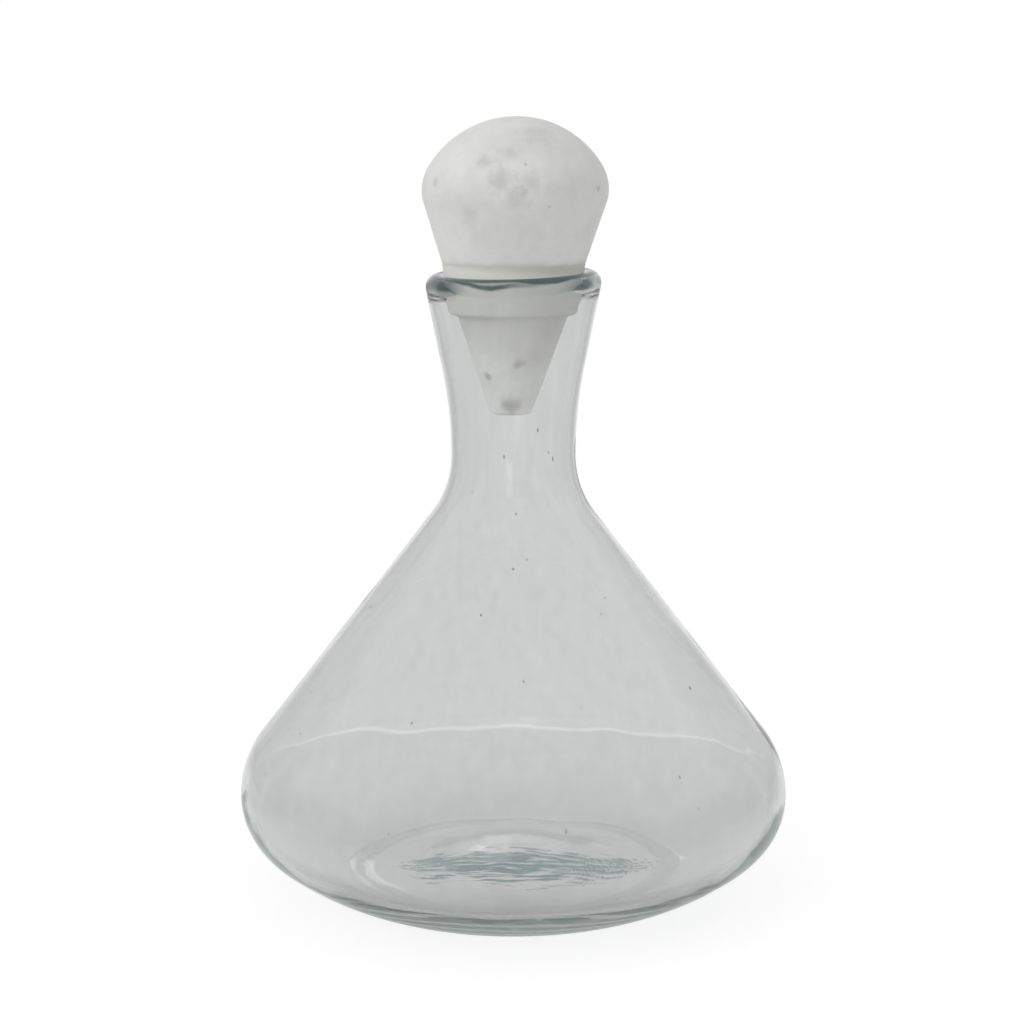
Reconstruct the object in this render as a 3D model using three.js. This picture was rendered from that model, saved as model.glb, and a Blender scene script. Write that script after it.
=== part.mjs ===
// A decanter: a blown glass vessel, a turned marble stopper and the soft seal sleeve round its plug.
// Millimetres, +Z up. The origin is the centre of the standing ring, on the table.
import * as THREE from 'three';

// Glass bowl, outside
const bowlRadius = 100;
const bowlHeight = 34.6;
const bowlUpperRound = 33;
const bowlLowerRound = 25;
const heelRound = 91;

// Standing ring and the push-up inside it
const standingRadius = 62;
const standingWidth = 4;
const footRound = 7;
const puntHeight = 9.5;

// Neck, flare and lip, outside
const shoulderRound = 36;
const neckRadius = 22.4;
const neckHeight = 158.9;
const flareRound = 156;
const flareAngle = THREE.MathUtils.degToRad(11.5);
const rimHeight = 223.3;
const lipThickness = 6.3;
const lipDepth = 6.5;
const lipOuterRound = 4.5;

// Glass thickness
const bowlWall = 2.6;
const neckWall = 2;
const floorThickness = 3.8;

// Inside of the heel: how far down the wall and across the floor its bend pulls, as shares of the way
const heelPullDown = 0.63;
const heelPullAcross = 0.26;

// Seal sleeve
const sleeveProud = 2.9;
const sleeveLength = 16.8;
const sleeveThickness = 2.2;
const sleeveTaper = THREE.MathUtils.degToRad(7.5);
const sleeveRound = 1.8;

// Marble stopper
const knobRadius = 33;
const knobRise = 26.6;
const knobCrown = 25.8;
const knobUpperRound = 17;
const knobLowerRound = 14;
const tailStep = 1.2;
const tailLength = 35.6;
const tailTipRadius = 7.6;
const tailTipRound = 1.5;

// Clearances
const seatClearance = 0.3;
const sleeveFit = 0.3;

// Facets round each turned piece
const turnSegments = 48;

const point = (radius, height) => new THREE.Vector2(radius, height);

// Points of an arc in the profile plane, both ends included; angles run from the outward direction
function arc(centre, radius, from, to, steps) {
  const points = [];
  for (let i = 0; i <= steps; i += 1) {
    const angle = from + (to - from) * (i / steps);
    points.push(point(centre.x + radius * Math.cos(angle), centre.y + radius * Math.sin(angle)));
  }
  return points;
}

// Direction from one profile point to another
const angleTo = (from, to) => Math.atan2(to.y - from.y, to.x - from.x);

// Centre of a circle that touches two smaller circles from outside them, on the side of the axis
function enclosingCentre(first, firstReach, second, secondReach) {
  const gap = first.distanceTo(second);
  const along = (firstReach ** 2 - secondReach ** 2 + gap ** 2) / (2 * gap);
  const aside = Math.sqrt(firstReach ** 2 - along ** 2);
  const direction = second.clone().sub(first).divideScalar(gap);
  const sideways = point(-direction.y, direction.x);
  return first.clone().addScaledVector(direction, along).addScaledVector(sideways, aside);
}

// Slope from the vertical of the straight line between a lower round and an upper hollow
function coneSlope(lower, lowerRadius, upper, upperRadius) {
  const lean = Math.atan2(lower.x - upper.x, upper.y - lower.y);
  return Math.asin((lowerRadius + upperRadius) / lower.distanceTo(upper)) + lean;
}

// Half of a push-up, from its rim to its crown on the axis or back, flat at both ends
function pushUp(rimRadius, rimLevel, height, steps) {
  const points = [];
  for (let i = 0; i <= steps; i += 1) {
    const share = i / steps;
    const rise = (1 - Math.cos(Math.PI * share)) / 2;
    points.push(point(rimRadius * (1 - share), rimLevel + height * rise));
  }
  return points;
}

// Centres that the outer and inner walls of the glass share
const upperCentre = point(bowlRadius - bowlUpperRound, bowlHeight);
const lowerCentre = point(bowlRadius - bowlLowerRound, bowlHeight);
const shoulderCentre = point(neckRadius + shoulderRound, neckHeight);
const flareCentre = point(neckRadius + flareRound, neckHeight);
const footCentre = point(standingRadius, footRound);

// The flare stops turning below the bead of the lip, and runs straight from there
const beadEnd = rimHeight - lipDepth;
const flareTurn = Math.min(flareAngle, Math.asin((beadEnd - neckHeight) / (flareRound + neckWall)));
const flareEnd = arc(flareCentre, flareRound, Math.PI - flareTurn, Math.PI - flareTurn, 1)[0];
const lipCentreHeight = rimHeight - lipOuterRound;
const flareRadiusAt = (height) => flareEnd.x + (height - flareEnd.y) * Math.tan(flareTurn);
const lipCentreRadius = flareRadiusAt(lipCentreHeight) - lipOuterRound / Math.cos(flareTurn);
const lipCentre = point(lipCentreRadius, lipCentreHeight);
const rimRadius = lipCentre.x + lipOuterRound;
const mouthRadius = rimRadius - lipThickness;
const lipInnerRound = lipCentre.x - mouthRadius;
const mouthHeight = rimHeight - lipInnerRound;

function glassOuterWall() {
  const heelCentre = enclosingCentre(
    footCentre, heelRound - footRound,
    lowerCentre, heelRound - bowlLowerRound,
  );
  const heelStart = angleTo(heelCentre, footCentre);
  const heelStop = angleTo(heelCentre, lowerCentre);
  const slope = coneSlope(upperCentre, bowlUpperRound, shoulderCentre, shoulderRound);
  return [
    ...arc(footCentre, footRound, -Math.PI / 2, heelStart, 2),
    ...arc(heelCentre, heelRound, heelStart, heelStop, 4).slice(1),
    ...arc(lowerCentre, bowlLowerRound, heelStop, 0, 5).slice(1),
    ...arc(upperCentre, bowlUpperRound, 0, slope, 5).slice(1),
    ...arc(shoulderCentre, shoulderRound, Math.PI + slope, Math.PI, 5),
    ...arc(flareCentre, flareRound, Math.PI, Math.PI - flareTurn, 4).slice(1),
    ...arc(lipCentre, lipOuterRound, -flareTurn, Math.PI / 2, 5),
  ];
}

function glassInnerWall() {
  const innerLipCentre = point(mouthRadius + lipInnerRound, mouthHeight);
  const innerFlare = flareRound + neckWall;

  // The thick bead of the lip runs out into the thin wall of the neck
  const neckInsideAt = (height) => flareRadiusAt(height) - neckWall / Math.cos(flareTurn);
  const beadMiddle = (mouthHeight + beadEnd) / 2;
  const bead = new THREE.CubicBezierCurve(
    point(mouthRadius, mouthHeight),
    point(mouthRadius, beadMiddle),
    point(neckInsideAt(beadMiddle), beadMiddle),
    point(neckInsideAt(beadEnd), beadEnd),
  );
  const slope = coneSlope(
    upperCentre, bowlUpperRound - bowlWall,
    shoulderCentre, shoulderRound + neckWall,
  );
  const bowlInner = bowlRadius - bowlWall;
  const valleyRadius = standingRadius - standingWidth;
  const wallFall = (bowlHeight - floorThickness) * heelPullDown;
  const floorReach = (bowlInner - valleyRadius) * heelPullAcross;
  const heel = new THREE.CubicBezierCurve(
    point(bowlInner, bowlHeight),
    point(bowlInner, bowlHeight - wallFall),
    point(valleyRadius + floorReach, floorThickness),
    point(valleyRadius, floorThickness),
  );
  return [
    ...arc(innerLipCentre, lipInnerRound, Math.PI / 2, Math.PI, 3).slice(1),
    ...bead.getPoints(5).slice(1),
    ...arc(flareCentre, innerFlare, Math.PI - flareTurn, Math.PI, 3),
    ...arc(shoulderCentre, shoulderRound + neckWall, Math.PI, Math.PI + slope, 5).slice(1),
    ...arc(upperCentre, bowlUpperRound - bowlWall, slope, 0, 5),
    ...heel.getPoints(7).slice(1),
    ...pushUp(valleyRadius, floorThickness, puntHeight, 6).slice(1),
  ];
}

function glassBodyProfile() {
  const underside = pushUp(standingRadius - standingWidth, 0, puntHeight, 6).reverse();
  return [...underside, ...glassOuterWall(), ...glassInnerWall()];
}

// The stopper hangs by its sleeve in the mouth: the sleeve touches at the narrowest circle of the lip
const ledgeHeight = rimHeight + sleeveProud;
const sleeveTopRadius = mouthRadius - seatClearance + (ledgeHeight - mouthHeight) * Math.tan(sleeveTaper);
const sleeveBottom = ledgeHeight - sleeveLength;
const sleeveRadiusAt = (height) => sleeveTopRadius - (ledgeHeight - height) * Math.tan(sleeveTaper);
const coreRadiusAt = (height) => sleeveRadiusAt(height) - sleeveThickness - sleeveFit;

function marbleStopperProfile() {
  const knobHeight = ledgeHeight + knobRise;
  const lowerRound = point(knobRadius - knobLowerRound, knobHeight);
  const upperRound = point(knobRadius - knobUpperRound, knobHeight);
  const ledge = point(sleeveTopRadius, ledgeHeight);

  // The cone leaves the ledge and runs into the knob's lower round
  const reach = lowerRound.distanceTo(ledge);
  const coneStop = angleTo(lowerRound, ledge) + Math.acos(knobLowerRound / reach);

  // The dome passes through the crown and runs into the knob's upper round
  const spread = upperRound.x ** 2 + knobCrown ** 2 - knobUpperRound ** 2;
  const domeRadius = spread / (2 * (knobCrown - knobUpperRound));
  const domeCentre = point(0, knobHeight + knobCrown - domeRadius);
  const domeStart = angleTo(domeCentre, upperRound);

  const tailTop = coreRadiusAt(sleeveBottom) - tailStep;
  const tailBottom = sleeveBottom - tailLength;
  const tailLean = Math.atan2(tailTop - tailTipRadius, tailLength);
  const tipCentre = point(tailTipRadius - tailTipRound, tailBottom + tailTipRound);
  return [
    point(0, tailBottom),
    ...arc(tipCentre, tailTipRound, -Math.PI / 2, -tailLean, 3),
    point(tailTop, sleeveBottom - tailStep),
    point(coreRadiusAt(sleeveBottom), sleeveBottom),
    point(coreRadiusAt(ledgeHeight), ledgeHeight),
    ledge,
    ...arc(lowerRound, knobLowerRound, coneStop, 0, 4),
    ...arc(upperRound, knobUpperRound, 0, domeStart, 5).slice(1),
    ...arc(domeCentre, domeRadius, domeStart, Math.PI / 2, 6).slice(1),
  ];
}

function sealSleeveProfile() {
  const top = ledgeHeight - sleeveFit;
  const boreAt = (height) => coreRadiusAt(height) + sleeveFit;
  const roundCentre = point(sleeveRadiusAt(sleeveBottom) - sleeveRound, sleeveBottom + sleeveRound);
  const outline = [
    point(boreAt(sleeveBottom), sleeveBottom),
    ...arc(roundCentre, sleeveRound, -Math.PI / 2, -sleeveTaper, 4),
    point(sleeveRadiusAt(top), top),
    point(boreAt(top), top),
  ];
  return [...outline, outline[0].clone()];
}

// A profile of radius and height, turned about the upright axis
function turned(profile) {
  return new THREE.LatheGeometry(profile, turnSegments).rotateX(Math.PI / 2);
}

function subPart(name, profile, finish) {
  const mesh = new THREE.Mesh(turned(profile), new THREE.MeshStandardMaterial(finish));
  mesh.name = name;
  return mesh;
}

const clearGlass = { color: 0xc9d0ce, roughness: 0.04, metalness: 0, transparent: true, opacity: 0.4 };
const whiteMarble = { color: 0xdcdcd8, roughness: 0.45, metalness: 0 };
const milkySeal = { color: 0xc4c4be, roughness: 0.5, metalness: 0 };

const decanter = new THREE.Group();
decanter.add(subPart('glass_body', glassBodyProfile(), clearGlass));

const stopper = new THREE.Group();
stopper.add(subPart('marble_stopper', marbleStopperProfile(), whiteMarble));
stopper.add(subPart('seal_sleeve', sealSleeveProfile(), milkySeal));
decanter.add(stopper);

export default decanter;
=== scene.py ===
import math

import bmesh
import bpy
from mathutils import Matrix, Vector


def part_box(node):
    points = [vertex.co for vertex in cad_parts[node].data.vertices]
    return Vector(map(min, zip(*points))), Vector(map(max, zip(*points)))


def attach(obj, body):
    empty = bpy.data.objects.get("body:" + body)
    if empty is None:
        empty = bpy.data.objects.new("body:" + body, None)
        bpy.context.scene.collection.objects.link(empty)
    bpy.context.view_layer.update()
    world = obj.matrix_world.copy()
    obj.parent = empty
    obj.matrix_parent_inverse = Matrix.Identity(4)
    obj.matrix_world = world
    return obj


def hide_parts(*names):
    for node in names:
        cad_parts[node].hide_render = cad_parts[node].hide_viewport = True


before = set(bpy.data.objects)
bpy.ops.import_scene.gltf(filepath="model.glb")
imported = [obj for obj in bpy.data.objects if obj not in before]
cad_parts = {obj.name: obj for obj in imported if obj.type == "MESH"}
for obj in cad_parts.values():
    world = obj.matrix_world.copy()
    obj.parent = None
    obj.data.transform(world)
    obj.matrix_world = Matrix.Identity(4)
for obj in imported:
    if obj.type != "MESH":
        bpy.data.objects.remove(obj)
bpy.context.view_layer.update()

MM = 0.001

# Sizes that the frame gives
bowl_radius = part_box("glass_body")[1].x
rim_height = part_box("glass_body")[1].z
sleeve_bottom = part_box("seal_sleeve")[0].z
sleeve_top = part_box("seal_sleeve")[1].z
sleeve_top_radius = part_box("seal_sleeve")[1].x
tail_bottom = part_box("marble_stopper")[0].z
knob_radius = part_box("marble_stopper")[1].x
knob_crown_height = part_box("marble_stopper")[1].z

# Glass bowl, foot and push-up
bowl_height = 34.6 * MM
bowl_upper_round = 33 * MM
bowl_lower_round = 25 * MM
heel_round = 91 * MM
standing_radius = 62 * MM
standing_width = 4 * MM
foot_round = 7 * MM
punt_height = 9.5 * MM

# Neck, flare and lip
shoulder_round = 36 * MM
neck_radius = 22.4 * MM
neck_height = 158.9 * MM
flare_round = 156 * MM
flare_angle = math.radians(11.5)
lip_thickness = 6.3 * MM
lip_depth = 10 * MM
lip_outer_round = 4.5 * MM

# Glass thickness
bowl_wall = 2.6 * MM
neck_wall = 2 * MM
floor_thickness = 3.8 * MM

# Seal sleeve and its seat on the marble
sleeve_fit = 0.3 * MM
sleeve_thickness = 2.2 * MM
sleeve_taper = math.radians(7.5)
sleeve_round = 1.8 * MM

# Marble knob and tail
knob_crown = 25.8 * MM
knob_upper_round = 17 * MM
knob_lower_round = 14 * MM
tail_step = 1.2 * MM
tail_tip_radius = 7.6 * MM
tail_tip_round = 1.5 * MM

# Camera of the photograph
camera_place = (-0.53 * MM, -800 * MM, 278.7 * MM)
camera_pitch = math.radians(10.01)
camera_lens = 78.92
camera_sensor = 36.0

# Stage
table_radius = 600 * MM
table_back = 190 * MM
table_drop = 0.1 * MM
table_white = 0.85
camera_lift = 0.28
wall_level = 0.835
corner_level = 0.58
world_level = 0.72
light_bounces = 64

# Hand-made unevenness
stopper_lean = 0.02
tilt_right = 0.026
tilt_back = 0.026
rim_rise = 0.8 * MM
band_rise = 1.2 * MM

# Tints of the glass, some of them painted shade
clear_dull = (0.848, 0.855, 0.851, 1)
clear_bright = (0.882, 0.889, 0.885, 1)
wrinkle_shade_teal = (0.09, 0.18, 0.175, 1)
heel_shade_grey = (0.68, 0.71, 0.69, 1)
lip_shade_teal = (0.02, 0.05, 0.048, 1)
scuff_shade_grey = (0.70, 0.72, 0.71, 1)
depth_teal = (0.2, 0.35, 0.335, 1)
depth_density = 5.0
passing_light = (0.965, 0.965, 0.965, 1)

# Tints of the marble and the seal, some of them painted light and shade
knob_white = (0.73, 0.735, 0.72, 1)
plug_lit_white = (0.88, 0.885, 0.87, 1)
stain_grey = (0.42, 0.42, 0.39, 1)
seal_dull = (0.62, 0.625, 0.60, 1)
seal_pale = (0.68, 0.685, 0.66, 1)
seal_shade_grey = (0.50, 0.50, 0.46, 1)


# Profiles, as lists of (radius, height)

def arc(centre, radius, start, stop, steps):
    """Points on an arc of the profile plane, both ends included."""
    points = []
    for i in range(steps + 1):
        angle = start + (stop - start) * i / steps
        points.append((centre[0] + radius * math.cos(angle), centre[1] + radius * math.sin(angle)))
    return points


def bezier(handles, steps):
    """Points on a Bezier curve from its first handle to its last, both included."""
    points = []
    degree = len(handles) - 1
    for i in range(steps + 1):
        t = i / steps
        shares = [math.comb(degree, k) * t ** k * (1 - t) ** (degree - k) for k in range(degree + 1)]
        points.append(tuple(sum(s * h[axis] for s, h in zip(shares, handles)) for axis in (0, 1)))
    return points


def straight(start, stop, steps):
    """Points on a straight line, both ends included."""
    return bezier([start, stop], steps)


def edged(start, stop, steps):
    """Points on a straight line, with two more close to its ends, so that its corners stay crisp."""
    near = 0.12 * MM / math.dist(start, stop)
    shares = [0, near, *[i / steps for i in range(1, steps)], 1 - near, 1]
    return [tuple(a + (b - a) * share for a, b in zip(start, stop)) for share in shares]


def angle_to(start, stop):
    return math.atan2(stop[1] - start[1], stop[0] - start[0])


def enclosing_centre(first, first_reach, second, second_reach):
    """Centre of a circle that holds two smaller circles and touches both, on the side of the axis."""
    gap = math.dist(first, second)
    along = (first_reach ** 2 - second_reach ** 2 + gap ** 2) / (2 * gap)
    aside = math.sqrt(first_reach ** 2 - along ** 2)
    unit = ((second[0] - first[0]) / gap, (second[1] - first[1]) / gap)
    return (first[0] + unit[0] * along - unit[1] * aside, first[1] + unit[1] * along + unit[0] * aside)


def cone_slope(lower, lower_radius, upper, upper_radius):
    """Slope from the vertical of the line between a lower round and an upper hollow."""
    lean = math.atan2(lower[0] - upper[0], upper[1] - lower[1])
    return math.asin((lower_radius + upper_radius) / math.dist(lower, upper)) + lean


def push_up(rim, level, steps):
    """Half of the push-up in the base, from its rim to the axis, flat at both ends."""
    points = []
    for i in range(steps + 1):
        share = i / steps
        points.append((rim * (1 - share), level + punt_height * (1 - math.cos(math.pi * share)) / 2))
    return points


upper_centre = (bowl_radius - bowl_upper_round, bowl_height)
lower_centre = (bowl_radius - bowl_lower_round, bowl_height)
shoulder_centre = (neck_radius + shoulder_round, neck_height)
flare_centre = (neck_radius + flare_round, neck_height)
foot_centre = (standing_radius, foot_round)
flare_end = arc(flare_centre, flare_round, math.pi - flare_angle, math.pi, 1)[0]
lip_level = rim_height - lip_outer_round


def flare_radius(height):
    """Radius of the straight part of the flare."""
    return flare_end[0] + (height - flare_end[1]) * math.tan(flare_angle)


lip_centre = (flare_radius(lip_level) - lip_outer_round / math.cos(flare_angle), lip_level)
mouth_radius = lip_centre[0] + lip_outer_round - lip_thickness
lip_inner_round = lip_centre[0] - mouth_radius
mouth_height = rim_height - lip_inner_round
valley_radius = standing_radius - standing_width


def glass_underside():
    return push_up(valley_radius, 0, 140)[::-1]


def lower_wall(thickness):
    """The wall from the foot to the widest circle, set inwards by a thickness for each share of it."""
    heel_centre = enclosing_centre(
        foot_centre, heel_round - foot_round, lower_centre, heel_round - bowl_lower_round
    )
    heel_start = angle_to(heel_centre, foot_centre)
    heel_stop = angle_to(heel_centre, lower_centre)
    rounds = [
        (foot_centre, foot_round, -math.pi / 2, heel_start, 8),
        (heel_centre, heel_round, heel_start, heel_stop, 20),
        (lower_centre, bowl_lower_round, heel_stop, 0, 16),
    ]
    whole = sum(radius * (stop - start) for _, radius, start, stop, _ in rounds)
    points = []
    gone = 0
    for centre, radius, start, stop, steps in rounds:
        for i in range(1 if points else 0, steps + 1):
            angle = start + (stop - start) * i / steps
            inner = radius - thickness((gone + radius * (angle - start)) / whole)
            points.append((centre[0] + inner * math.cos(angle), centre[1] + inner * math.sin(angle)))
        gone += radius * (stop - start)
    return points


def glass_outside():
    slope = cone_slope(upper_centre, bowl_upper_round, shoulder_centre, shoulder_round)
    bowl_top = arc(upper_centre, bowl_upper_round, 0, slope, 16)
    shoulder = arc(shoulder_centre, shoulder_round, math.pi + slope, math.pi, 14)
    flare = arc(flare_centre, flare_round, math.pi, math.pi - flare_angle, 12)
    lip = arc(lip_centre, lip_outer_round, -flare_angle, math.pi / 2, 14)
    return [
        *lower_wall(lambda share: 0),
        *bowl_top[1:],
        *straight(bowl_top[-1], shoulder[0], 24)[1:],
        *shoulder[1:],
        *flare[1:],
        *straight(flare[-1], lip[0], 8)[1:],
        *lip[1:],
    ]


def glass_inside():
    def neck_inside(height):
        return flare_radius(height) - neck_wall / math.cos(flare_angle)

    inner_flare = flare_round + neck_wall
    bead_end = rim_height - lip_depth
    bead_turn = mouth_height - lip_inner_round * 2
    bead = bezier([
        (mouth_radius, mouth_height),
        (mouth_radius, mouth_height - lip_inner_round * 0.7),
        (neck_inside(bead_turn), bead_turn),
        (neck_inside(bead_end), bead_end),
    ], 40)
    flare = arc(flare_centre, inner_flare, math.pi - flare_angle, math.pi, 10)
    slope = cone_slope(
        upper_centre, bowl_upper_round - bowl_wall, shoulder_centre, shoulder_round + neck_wall
    )
    heel = lower_wall(lambda share: floor_thickness + (bowl_wall - floor_thickness) * share)[::-1]
    shoulder = arc(shoulder_centre, shoulder_round + neck_wall, math.pi, math.pi + slope, 14)
    bowl_top = arc(upper_centre, bowl_upper_round - bowl_wall, slope, 0, 16)
    return [
        *arc((mouth_radius + lip_inner_round, mouth_height), lip_inner_round, math.pi / 2, math.pi, 8)[1:],
        *bead[1:],
        *straight(bead[-1], flare[0], 8)[1:],
        *flare[1:],
        *shoulder[1:],
        *straight(shoulder[-1], bowl_top[0], 24)[1:],
        *bowl_top[1:],
        *heel[1:],
        *push_up(valley_radius, floor_thickness, 26),
    ]


band_top = sleeve_top + sleeve_fit + band_rise


def sleeve_radius(height):
    return sleeve_top_radius - (sleeve_top - height) * math.tan(sleeve_taper)


def core_radius(height):
    return sleeve_radius(height) - sleeve_thickness - sleeve_fit


def stopper_profile():
    knob_height = knob_crown_height - knob_crown
    lower_round = (knob_radius - knob_lower_round, knob_height)
    upper_round = (knob_radius - knob_upper_round, knob_height)
    ledge = (sleeve_radius(band_top), band_top)
    core_top = (core_radius(band_top), band_top)
    core_bottom = (core_radius(sleeve_bottom), sleeve_bottom)
    reach = math.dist(lower_round, ledge)
    cone_stop = angle_to(lower_round, ledge) + math.acos(knob_lower_round / reach)
    spread = upper_round[0] ** 2 + knob_crown ** 2 - knob_upper_round ** 2
    dome_radius = spread / (2 * (knob_crown - knob_upper_round))
    dome_centre = (0, knob_crown_height - dome_radius)
    dome_start = angle_to(dome_centre, upper_round)
    tail_top = (core_radius(sleeve_bottom) - tail_step, sleeve_bottom - tail_step)
    tail_lean = math.atan2(tail_top[0] - tail_tip_radius, tail_top[1] - tail_bottom)
    tip_centre = (tail_tip_radius - tail_tip_round, tail_bottom + tail_tip_round)
    tip = arc(tip_centre, tail_tip_round, -math.pi / 2, -tail_lean, 6)
    knob = arc(lower_round, knob_lower_round, cone_stop, 0, 10)
    return [
        *straight((0, tail_bottom), tip[0], 5),
        *tip[1:],
        *edged(tip[-1], tail_top, 16)[1:],
        *edged(tail_top, core_bottom, 2)[1:],
        *edged(core_bottom, core_top, 8)[1:],
        *edged(core_top, ledge, 4)[1:],
        *edged(ledge, knob[0], 14)[1:],
        *knob[1:],
        *arc(upper_round, knob_upper_round, 0, dome_start, 14)[1:],
        *arc(dome_centre, dome_radius, dome_start, math.pi / 2, 20)[1:],
    ]


def sleeve_profile():
    def bore(height):
        return core_radius(height) + sleeve_fit

    round_centre = (sleeve_radius(sleeve_bottom) - sleeve_round, sleeve_bottom + sleeve_round)
    edge = arc(round_centre, sleeve_round, -math.pi / 2, -sleeve_taper, 8)
    top_edge = (sleeve_radius(band_top), band_top)
    bore_top = (bore(band_top), band_top)
    bore_bottom = (bore(sleeve_bottom), sleeve_bottom)
    return [
        bore_bottom,
        *edge,
        *edged(edge[-1], top_edge, 10)[1:],
        *edged(top_edge, bore_top, 3)[1:],
        *edged(bore_top, bore_bottom, 8)[1:],
    ]


# Node trees

class Field:
    """A value that flows through a node tree. Arithmetic on it adds nodes to the tree."""

    def __init__(self, tree, socket):
        self.tree = tree
        self.socket = socket

    def __add__(self, other):
        return self.tree.math("ADD", self, other)

    def __sub__(self, other):
        return self.tree.math("SUBTRACT", self, other)

    def __rsub__(self, other):
        return self.tree.math("SUBTRACT", other, self)

    def __mul__(self, other):
        return self.tree.math("MULTIPLY", self, other)

    def __truediv__(self, other):
        return self.tree.math("DIVIDE", self, other)


class Tree:
    """A node tree of any kind, with short ways to add nodes."""

    def __init__(self, group):
        self.group = group

    def feed(self, socket, value):
        if isinstance(value, Field):
            self.group.links.new(value.socket, socket)
        else:
            socket.default_value = value

    def node(self, kind, output=0, settings=None, **inputs):
        """Adds a node. Inputs are named by label, or by i0, i1 and so on for their place."""
        made = self.group.nodes.new(kind)
        for key, value in (settings or {}).items():
            setattr(made, key, value)
        for label, value in inputs.items():
            place = int(label[1:]) if label[0] == "i" and label[1:].isdigit() else label.replace("_", " ")
            self.feed(made.inputs[place], value)
        return Field(self, made.outputs[output])

    def math(self, operation, *values):
        inputs = {f"i{i}": v for i, v in enumerate(values)}
        return self.node("ShaderNodeMath", settings={"operation": operation}, **inputs)

    def vector(self, x, y, z):
        return self.node("ShaderNodeCombineXYZ", i0=x, i1=y, i2=z)

    def parts(self, vector):
        split = self.node("ShaderNodeSeparateXYZ", i0=vector).socket.node
        return [Field(self, out) for out in split.outputs]

    def vector_math(self, operation, output=0, **inputs):
        return self.node("ShaderNodeVectorMath", output, {"operation": operation}, **inputs)

    def noise(self, place, size, detail=2.0, rough=0.5):
        """Noise from 0 to 1 whose lumps are about that size."""
        return self.node(
            "ShaderNodeTexNoise", Vector=place, Scale=1.0 / size, Detail=detail, Roughness=rough
        )

    def ramp(self, value, low, high, first=0.0, last=1.0):
        """First below low, last above high, smooth between."""
        return self.node(
            "ShaderNodeMapRange", settings={"interpolation_type": "SMOOTHSTEP"},
            Value=value, From_Min=low, From_Max=high, To_Min=first, To_Max=last,
        )

    def blend(self, share, first, second):
        """From the first colour to the second."""
        return self.node("ShaderNodeMix", 2, {"data_type": "RGBA"}, i0=share, i6=first, i7=second)


class FormTree(Tree):
    """A geometry node tree with named inputs, which ends in realised geometry of one material."""

    SOCKETS = {"number": "NodeSocketFloat", "count": "NodeSocketInt", "material": "NodeSocketMaterial"}

    def __init__(self, name, **inputs):
        super().__init__(bpy.data.node_groups.new(name, "GeometryNodeTree"))
        self.group.is_modifier = True
        self.group.interface.new_socket("Profile", in_out="INPUT", socket_type="NodeSocketGeometry")
        for label, kind in inputs.items():
            self.group.interface.new_socket(label, in_out="INPUT", socket_type=self.SOCKETS[kind])
        self.group.interface.new_socket("Form", in_out="OUTPUT", socket_type="NodeSocketGeometry")
        self.source = self.group.nodes.new("NodeGroupInput")
        self.sink = self.group.nodes.new("NodeGroupOutput")

    def given(self, label):
        return Field(self, self.source.outputs[label])

    def attribute(self, name):
        return self.node("GeometryNodeInputNamedAttribute", settings={"data_type": "FLOAT"}, Name=name)

    def place(self):
        return self.node("GeometryNodeInputPosition")

    def turn(self):
        """The given profile turned about the upright axis, its seam and poles closed."""
        profile = self.given("Profile")
        segments = self.given("Segments")
        rings = self.node("GeometryNodeAttributeDomainSize", settings={"component": "MESH"}, i0=profile)
        columns = segments + 1
        grid = self.node("GeometryNodeMeshGrid", Vertices_X=rings, Vertices_Y=columns)
        index = self.node("GeometryNodeInputIndex")
        ring = self.math("FLOOR", (index + 0.5) / columns)
        angle = (index - ring * columns) / segments * -math.tau
        taken = self.node(
            "GeometryNodeSampleIndex", settings={"data_type": "FLOAT_VECTOR", "domain": "POINT"},
            Geometry=profile, Value=self.place(), Index=ring,
        )
        side = self.node(
            "GeometryNodeSampleIndex", settings={"data_type": "FLOAT", "domain": "POINT"},
            Geometry=profile, Value=self.attribute("side"), Index=ring,
        )
        radius, _, height = self.parts(taken)
        turned = self.vector(radius * self.math("COSINE", angle), radius * self.math("SINE", angle), height)
        kept = self.node(
            "GeometryNodeStoreNamedAttribute", settings={"data_type": "FLOAT", "domain": "POINT"},
            Geometry=grid, Name="side", Value=side,
        )
        placed = self.node("GeometryNodeSetPosition", Geometry=kept, Position=turned)
        return self.node("GeometryNodeMergeByDistance", Geometry=placed, Distance=1e-6)

    def swell(self, form, amount):
        """Moves each point of the form along its normal."""
        normal = self.node("GeometryNodeInputNormal")
        offset = self.vector_math("SCALE", Vector=normal, Scale=amount)
        return self.node("GeometryNodeSetPosition", Geometry=form, Offset=offset)

    def shift(self, form, x, y, z):
        return self.node("GeometryNodeSetPosition", Geometry=form, Offset=self.vector(x, y, z))

    def end(self, form):
        smooth = self.node("GeometryNodeSetShadeSmooth", Geometry=form)
        real = self.node("GeometryNodeRealizeInstances", Geometry=smooth)
        dressed = self.node("GeometryNodeSetMaterial", Geometry=real, Material=self.given("Material"))
        self.feed(self.sink.inputs["Form"], dressed)
        return self.group


def turned_tree():
    """A turned piece, a little uneven, that leans about a point of the axis."""
    tree = FormTree(
        "turned_piece", Segments="count", Ripple="number", Lean="number", Pivot="number",
        Material="material",
    )
    form = tree.turn()
    ripple = (tree.noise(tree.place(), 12 * MM) - 0.5) * tree.given("Ripple")
    form = tree.swell(form, ripple)
    _, _, z = tree.parts(tree.place())
    form = tree.shift(form, (z - tree.given("Pivot")) * tree.given("Lean"), 0.0, 0.0)
    return tree.end(form)


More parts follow.
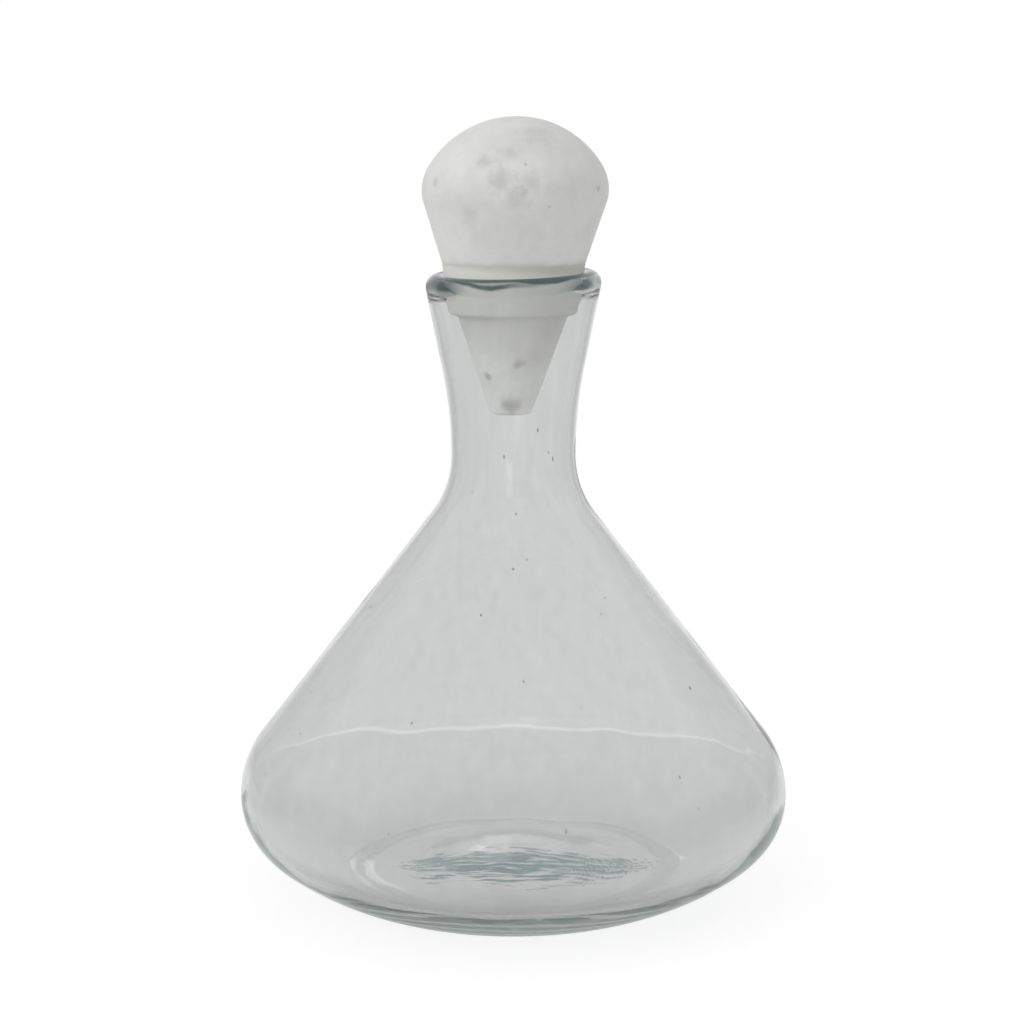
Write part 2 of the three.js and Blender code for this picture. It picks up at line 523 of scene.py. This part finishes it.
def blown_tree():
    """The blown glass wall, uneven by hand, with a lip out of level and chill wrinkles under the base."""
    tree = FormTree(
        "blown_wall", Segments="count", Wave="number", WaveSize="number",
        TiltRight="number", TiltBack="number", Rise="number",
        Wrinkle="number", WrinkleSize="number", WrinkleRadius="number", Material="material",
    )
    form = tree.turn()
    place = tree.place()
    x, y, z = tree.parts(place)
    side = tree.attribute("side")
    under = tree.ramp(side, 0.4, 0.6, 1.0, 0.0)

    unit = tree.vector_math("SCALE", Vector=place, Scale=tree.math("DIVIDE", 1.0, tree.given("WaveSize")))
    free = (1.0 - under) * tree.ramp(z, 2 * MM, 12 * MM)
    free = free * tree.ramp(z, rim_height - 6 * MM, rim_height - 16 * MM)
    wave = (tree.noise(unit, 1.0, detail=1.0) - 0.5) * tree.given("Wave") * free

    # Strokes across the front of the push-up, bowed like the ring round it
    across = x - 4 * MM
    bowed = y - across * across / (260 * MM)
    size = tree.given("WrinkleSize")
    reach = tree.given("WrinkleRadius")
    drift = tree.noise(place, 12 * MM) * 3.0
    stroke = tree.noise(tree.vector(across / size * 0.13, bowed / size + drift, 0.0), 1.0, detail=3.0)
    radius = tree.math("SQRT", across * across + y * y * 1.8)
    patch = tree.ramp(bowed, 3 * MM, -8 * MM) * tree.ramp(radius, reach, reach * 0.6)
    filled = tree.ramp(tree.math("ABSOLUTE", bowed + 14 * MM), 8 * MM, 2 * MM, 0.0, 0.07)
    crease = tree.ramp(stroke + patch * (filled + 0.23), 0.67, 0.76) * tree.ramp(patch, 0.0, 0.3) * under
    wrinkle = crease * tree.given("Wrinkle")
    form = tree.node(
        "GeometryNodeStoreNamedAttribute", settings={"data_type": "FLOAT", "domain": "POINT"},
        Geometry=form, Name="crease", Value=crease,
    )

    form = tree.swell(form, wave + wrinkle)
    lean = x * tree.given("TiltRight") + y * tree.given("TiltBack") + tree.given("Rise")
    level = lean * tree.ramp(z, neck_height, rim_height)
    form = tree.shift(form, 0.0, 0.0, level)
    return tree.end(form)


def seed_tree():
    """Small stretched air bubbles, scattered on the surface half way through the glass wall."""
    tree = FormTree(
        "glass_seeds", Segments="count", Density="number", Smallest="number", Largest="number",
        Seed="count", Material="material",
    )
    points = tree.node(
        "GeometryNodeDistributePointsOnFaces", Mesh=tree.turn(), Density=tree.given("Density"),
        Seed=tree.given("Seed"),
    )
    rotation = Field(tree, points.socket.node.outputs["Rotation"])
    bubble = tree.node("GeometryNodeMeshIcoSphere", Radius=1.0, Subdivisions=2)
    size = tree.node(
        "FunctionNodeRandomValue", output=1, settings={"data_type": "FLOAT"},
        i2=tree.given("Smallest"), i3=tree.given("Largest"), Seed=tree.given("Seed"),
    )
    seeds = tree.node(
        "GeometryNodeInstanceOnPoints", Points=points, Instance=bubble, Rotation=rotation,
        Scale=tree.vector(size, size * 2.2, size * 0.8),
    )
    real = tree.node("GeometryNodeRealizeInstances", Geometry=seeds)
    return tree.end(tree.node("GeometryNodeFlipFaces", Mesh=real))


def profile_object(name, runs):
    """A mesh of loose profile points. Each run is a side of the piece and its points."""
    points = [(point, side) for side, run in runs for point in run]
    mesh = bpy.data.meshes.new(name)
    mesh.from_pydata([(r, 0, z) for (r, z), _ in points], [], [])
    mesh.attributes.new("side", "FLOAT", "POINT").data.foreach_set("value", [float(s) for _, s in points])
    made = bpy.data.objects.new(name, mesh)
    bpy.context.scene.collection.objects.link(made)
    return made


def grow(name, runs, tree, **inputs):
    """Runs a node tree on a profile and returns the result as a plain mesh object."""
    made = profile_object(name, runs)
    modifier = made.modifiers.new("form", "NODES")
    modifier.node_group = tree
    for socket in tree.interface.items_tree:
        if socket.in_out == "INPUT" and socket.name in inputs:
            modifier[socket.identifier] = inputs[socket.name]
    ready = made.evaluated_get(bpy.context.evaluated_depsgraph_get())
    mesh = bpy.data.meshes.new_from_object(ready)
    made.modifiers.remove(modifier)
    mesh.name = name
    made.data = mesh
    return made


def absorb(piece, other):
    """Takes another object's mesh into the piece's mesh and deletes that object."""
    joined = bmesh.new()
    joined.from_mesh(piece.data)
    joined.from_mesh(other.data)
    joined.to_mesh(piece.data)
    joined.free()
    bpy.data.objects.remove(other)


# Materials

def new_material(name, **values):
    """A material, its tree and its shader, with some of the shader's values set."""
    made = bpy.data.materials.new(name)
    made.use_nodes = True
    shader = made.node_tree.nodes["Principled BSDF"]
    for label, value in values.items():
        shader.inputs[label.replace("_", " ")].default_value = value
    return made, Tree(made.node_tree), shader


def object_place(tree):
    return tree.node("ShaderNodeTexCoord", "Object")


def bump(tree, shader, height, strength, distance):
    normal = tree.node("ShaderNodeBump", Strength=strength, Distance=distance, Height=height)
    tree.feed(shader.inputs["Normal"], normal)


def clear_glass():
    made, tree, shader = new_material("clear_glass", IOR=1.5, Transmission_Weight=1.0)
    place = object_place(tree)
    x, y, z = tree.parts(place)
    smeared = tree.vector_math("MULTIPLY", i0=place, i1=(1, 1, 0.3))
    smear = tree.noise(smeared, 5 * MM, detail=5.0, rough=0.65)
    clear = tree.blend(tree.ramp(smear, 0.35, 0.7), clear_dull, clear_bright)
    # The chill wrinkles are painted darker and more blue-green than the thin wall: a painted shade for the
    # dark that they refract
    crease = tree.node("ShaderNodeAttribute", "Fac", {"attribute_name": "crease"})
    wall = tree.blend(crease, clear, wrinkle_shade_teal)
    # The heel is painted darker at its front: a painted shade for the darker floor that it reflects there,
    # partly the thicker glass
    radius = tree.math("SQRT", x * x + y * y)
    heel = tree.ramp(z, 22 * MM, 4 * MM) * tree.ramp(radius, 59 * MM, 66 * MM)
    heel = heel * tree.ramp(y, -30 * MM, -65 * MM)
    wall = tree.blend(heel, wall, heel_shade_grey)
    # The fire-polished lip is painted dark in a line along its top, a streak below it, and both sides:
    # painted shade and reflection for the dark surroundings that it refracts, partly the thick glass
    rise = z - x * tilt_right - y * tilt_back - rim_height - rim_rise
    wander = (tree.noise(place, 9 * MM) - 0.5) * 1.6 * MM
    heavy = tree.ramp(x, 0.0, 10 * MM, 0.0, 0.9 * MM) * tree.ramp(x, 14 * MM, 22 * MM, 1.0, 0.0)
    line = tree.ramp(rise + wander * 0.4 + heavy, -1.5 * MM, -0.7 * MM)
    from_low = x + 7.7 * MM
    sag = tree.math("MAXIMUM", from_low * -0.13, from_low * 0.07) - 2.6 * MM
    dark_streak = tree.ramp(tree.math("ABSOLUTE", rise - sag + wander), 1.4 * MM, 0.3 * MM)
    dark_streak = dark_streak * tree.ramp(x, -6 * MM, 6 * MM, 1.0, 0.65)
    sides = tree.ramp(tree.math("ABSOLUTE", x), 14 * MM, 24 * MM)
    sides = sides * tree.ramp(x, -20 * MM, 20 * MM, 0.8, 0.42)
    sides = sides * tree.ramp(rise, -5.7 * MM, -3 * MM)
    dark = tree.math("MAXIMUM", tree.math("MAXIMUM", line, dark_streak), sides)
    outer = tree.ramp(radius, lip_centre[0] - 1.5 * MM, lip_centre[0] - 0.5 * MM)
    colour = tree.blend(dark * outer * tree.ramp(rise, -8 * MM, -6.5 * MM), wall, lip_shade_teal)
    # The ring that it stands on is scuffed and rougher, and painted grey: partly wear, partly a painted
    # contact shade
    scuff_and_shade = tree.ramp(z, 0.3 * MM, 0.05 * MM) * tree.ramp(tree.noise(place, 2 * MM), 0.3, 0.5, 0.4, 1.0)
    tree.feed(shader.inputs["Base Color"], tree.blend(scuff_and_shade, colour, scuff_shade_grey))
    tree.feed(shader.inputs["Roughness"], scuff_and_shade * 0.2)
    bump(tree, shader, tree.noise(place, 16 * MM, detail=1.0), 0.03, 2 * MM)
    output = made.node_tree.nodes["Material Output"]
    depth = tree.node("ShaderNodeVolumeAbsorption", Color=depth_teal, Density=depth_density)
    tree.feed(output.inputs["Volume"], depth)
    # Light from lamps and matt surfaces passes straight through, so that the shadow is light
    rays = made.node_tree.nodes.new("ShaderNodeLightPath")
    seen = Field(tree, shader.outputs["BSDF"])
    for label in ("Is Shadow Ray", "Is Diffuse Ray"):
        passing = tree.node("ShaderNodeBsdfTransparent", Color=passing_light)
        seen = tree.node("ShaderNodeMixShader", i0=Field(tree, rays.outputs[label]), i1=seen, i2=passing)
    tree.feed(output.inputs["Surface"], seen)
    return made


# Grey stains of the marble: where, how large and how strong
stains = [
    ((-4.1, -32.0, 257.2), 3.6, 0.55),
    ((-9.7, -27.3, 263.5), 2.6, 0.45),
    ((5.6, -32.2, 256.5), 3.0, 0.4),
    ((-1.6, -27.2, 266.0), 3.0, 0.3),
    ((1.2, -32.9, 251.0), 3.4, 0.4),
    ((9.5, -17.7, 272.8), 5.0, 0.25),
    ((4.1, -29.8, 262.5), 0.6, 0.8),
    ((12.2, -30.2, 248.2), 0.5, 0.8),
    ((29.3, -16.3, 253.8), 1.0, 0.6),
    ((-27.1, -17.2, 256.2), 1.4, 0.4),
    ((-15.0, -27.6, 245.2), 3.0, 0.25),
    ((1.9, -14.6, 192.5), 1.7, 0.9),
    ((-9.4, -9.6, 188.0), 1.5, 0.9),
    ((-1.2, -8.6, 177.5), 3.0, 0.7),
]


def white_marble():
    made, tree, shader = new_material("white_marble")
    place = object_place(tree)
    clouds = tree.noise(place, 20 * MM, detail=4.0, rough=0.55)
    fine = tree.noise(place, 3.5 * MM, detail=4.0, rough=0.6)
    grey = tree.ramp(clouds, 0.65, 0.3, 0.0, 0.2) + tree.ramp(fine, 0.6, 0.3, 0.0, 0.08)
    ragged = (fine - 0.5) * 1.6 + 1.0
    for middle, size, strength in stains:
        away = tree.vector_math("DISTANCE", 1, i0=place, i1=tuple(v * MM for v in middle)) / (size * MM)
        grey = grey + tree.ramp(away * ragged, 1.8, 0.0, 0.0, strength)
    # The plug is painted a little whiter than the knob, more towards its tail: painted light for the light
    # that it loses inside the glass neck
    _, _, z = tree.parts(place)
    plug_light = tree.ramp(z, sleeve_bottom - 25 * MM, sleeve_bottom, 1.0, 0.0)
    clean = tree.blend(plug_light, knob_white, plug_lit_white)
    # Painted shade on the foot of the knob, just above the sleeve, where the two meet
    knob_foot_shade = tree.ramp(z + clouds * 3 * MM, band_top + 3.5 * MM, band_top + 1.2 * MM, 0.0, 0.4)
    grey = grey + knob_foot_shade * tree.ramp(z, sleeve_bottom, sleeve_bottom + 2 * MM)
    tree.feed(shader.inputs["Base Color"], tree.blend(grey, clean, stain_grey))
    tree.feed(shader.inputs["Roughness"], tree.ramp(fine, 0.3, 0.7, 0.38, 0.55))
    bump(tree, shader, fine, 0.08, 0.3 * MM)
    return made


def milky_seal():
    made, tree, shader = new_material("milky_seal", Roughness=0.5)
    place = object_place(tree)
    x, _, z = tree.parts(place)
    haze = tree.noise(place, 5 * MM, detail=3.0)
    # The seal is painted darker towards its top under the knob, most on the right: a painted shade under
    # the knob, on the side away from the key light
    under_knob_shade = tree.ramp(z + haze * 1.5 * MM + x * 0.09, band_top - 3.2 * MM, band_top + 0.8 * MM)
    clean = tree.blend(haze, seal_dull, seal_pale)
    tree.feed(shader.inputs["Base Color"], tree.blend(under_knob_shade, clean, seal_shade_grey))
    bump(tree, shader, tree.noise(place, 0.8 * MM), 0.05, 0.2 * MM)
    return made


def ray_kinds(tree):
    """1 for the rays of the camera, and 1 for those that see the background in or through glass."""
    rays = tree.group.nodes.new("ShaderNodeLightPath")
    labels = ("Is Camera Ray", "Is Glossy Ray", "Is Transmission Ray")
    camera, glossy, through = [Field(tree, rays.outputs[label]) for label in labels]
    return camera, tree.math("MAXIMUM", glossy, through)


def pale_floor():
    """A pale table, whose back edge lies on a white backdrop. The lift makes both white."""
    made, tree, shader = new_material(
        "pale_floor", Roughness=1.0, Specular_IOR_Level=0.0, Emission_Color=(1, 1, 1, 1)
    )
    camera, glass = ray_kinds(tree)
    x, y, _ = tree.parts(object_place(tree))
    aside = tree.ramp(tree.math("ABSOLUTE", x), 150 * MM, 280 * MM, 0.0, 0.2)
    radius = tree.math("SQRT", x * x + y * y)
    shade = tree.ramp(radius, 125 * MM, 75 * MM, 0.0, 0.25) * tree.ramp(y, -20 * MM, -60 * MM)
    tree.feed(shader.inputs["Base Color"], table_white - glass * (aside + shade))
    backdrop = tree.ramp(y, table_back - 1 * MM, table_back + 1 * MM, 0.04, 0.08)
    # Seen in the glass, the back edge of the table glows: a painted highlight along the edge
    edge = tree.ramp(tree.math("ABSOLUTE", y - table_back), 6 * MM, 1 * MM, 0.0, 0.16)
    lift = camera * camera_lift + glass * (backdrop + edge)
    tree.feed(shader.inputs["Emission Strength"], lift)
    return made


# Pieces

def mid_wall():
    """Points half way through the wall of the bowl, cone and neck."""
    slope = cone_slope(
        upper_centre, bowl_upper_round - bowl_wall / 2, shoulder_centre, shoulder_round + neck_wall / 2
    )
    return [
        *arc(upper_centre, bowl_upper_round - bowl_wall / 2, 0, slope, 8),
        *arc(shoulder_centre, shoulder_round + neck_wall / 2, math.pi + slope, math.pi, 8),
        *arc(flare_centre, flare_round + neck_wall / 2, math.pi, math.pi - flare_angle, 6)[1:],
    ]


def make_glass_body(material):
    runs = [(0, glass_underside()), (1, glass_outside()), (2, glass_inside())]
    body = grow(
        "glass_body_form", runs, blown_tree(), Segments=192, Wave=0.5 * MM, WaveSize=40 * MM,
        TiltRight=tilt_right, TiltBack=tilt_back, Rise=rim_rise,
        Wrinkle=0.1 * MM, WrinkleSize=1.7 * MM, WrinkleRadius=58 * MM, Material=material,
    )
    seeds = grow(
        "glass_seeds", [(1, mid_wall())], seed_tree(), Segments=64, Density=700.0, Smallest=0.1 * MM,
        Largest=0.4 * MM, Seed=7, Material=material,
    )
    absorb(body, seeds)
    return body


def make_stopper(material):
    return grow(
        "marble_stopper_form", [(1, stopper_profile())], turned_tree(), Segments=160, Ripple=0.25 * MM,
        Lean=stopper_lean, Pivot=mouth_height, Material=material,
    )


def make_sleeve(material):
    return grow(
        "seal_sleeve_form", [(1, sleeve_profile())], turned_tree(), Segments=160, Ripple=0.0,
        Lean=stopper_lean, Pivot=mouth_height, Material=material,
    )


def dress(piece, node, body):
    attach(piece, body)
    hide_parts(node)


# Stage

def make_floor():
    """A round table top, a hair below the standing ring, so that the two faces don't coincide."""
    table = bmesh.new()
    bmesh.ops.create_circle(table, cap_ends=True, segments=96, radius=table_radius)
    bmesh.ops.translate(table, verts=table.verts, vec=(0, 0, -table_drop))
    mesh = bpy.data.meshes.new("floor")
    table.to_mesh(mesh)
    table.free()
    floor = bpy.data.objects.new("floor", mesh)
    bpy.context.scene.collection.objects.link(floor)
    mesh.materials.append(pale_floor())


def make_camera():
    lens = bpy.data.cameras.new("camera")
    lens.lens = camera_lens
    lens.sensor_width = camera_sensor
    camera = bpy.data.objects.new("camera", lens)
    camera.location = camera_place
    camera.rotation_euler = (math.pi / 2 - camera_pitch, 0, 0)
    bpy.context.scene.collection.objects.link(camera)
    bpy.context.scene.camera = camera


def make_sun(name, towards, spread, level):
    """A wide soft light from far away, that lights a surface facing it to that level."""
    light = bpy.data.lights.new(name, "SUN")
    light.energy = level * math.pi
    light.angle = math.radians(spread)
    lamp = bpy.data.objects.new(name, light)
    lamp.rotation_euler = Vector(towards).to_track_quat("Z", "Y").to_euler()
    lamp.location = Vector(towards).normalized() * 2
    lamp.visible_glossy = False
    lamp.visible_transmission = False
    bpy.context.scene.collection.objects.link(lamp)


# Windows of the studio: azimuth from the back wall and half width, lowest and highest angle, and level
windows = [
    (-7.5, 0.9, 16, 27, 1.4),
    (-173.0, 6.0, -8, 28, 0.8),
]


def make_world():
    """Pale walls, darker at the sides and corners, and two windows. Matt surfaces get even light."""
    world = bpy.data.worlds.new("studio")
    bpy.context.scene.world = world
    world.use_nodes = True
    tree = Tree(world.node_tree)
    x, y, z = tree.parts(tree.node("ShaderNodeTexCoord", "Generated"))
    corner = tree.math("ABSOLUTE", x * y)
    level = tree.ramp(corner, 0.27, 0.42, wall_level, corner_level) * tree.ramp(z, 0.35, 0.7, 1.0, 0.9)
    level = level * tree.ramp(tree.math("ABSOLUTE", x), 0.84, 0.96, 1.0, 0.6)
    flat = tree.math("SQRT", x * x + y * y + 1e-6)
    for azimuth, half, low, high, light in windows:
        sine = math.sin(math.radians(azimuth))
        cosine = math.cos(math.radians(azimuth))
        aside = tree.math("ABSOLUTE", (x * cosine - y * sine) / flat)
        ahead = tree.math("GREATER_THAN", x * sine + y * cosine, 0.0)
        across = tree.ramp(aside, math.radians(half) * 0.6, math.radians(half) * 1.2, light, 0.0)
        foot = math.sin(math.radians(low))
        head = math.sin(math.radians(high))
        above = tree.ramp(z, foot - 0.04, foot + 0.04)
        below = tree.ramp(z, head - 0.04, head + 0.04, 1.0, 0.0)
        level = level + across * ahead * above * below
    camera, glass = ray_kinds(tree)
    matt = 1.0 - tree.math("MAXIMUM", camera, glass)
    strength = camera + glass * level + matt * world_level
    tree.feed(world.node_tree.nodes["Background"].inputs["Color"], (1, 1, 1, 1))
    tree.feed(world.node_tree.nodes["Background"].inputs["Strength"], strength)


make_camera()
make_world()
make_floor()
make_sun("key", towards=(-0.95, -0.6, 0.75), spread=50, level=0.3)

dress(make_glass_body(clear_glass()), "glass_body", "vessel")
dress(make_stopper(white_marble()), "marble_stopper", "stopper")
dress(make_sleeve(milky_seal()), "seal_sleeve", "stopper")

scene = bpy.context.scene
scene.view_settings.view_transform = "Standard"
scene.cycles.max_bounces = light_bounces
scene.cycles.glossy_bounces = light_bounces
scene.cycles.transmission_bounces = light_bounces
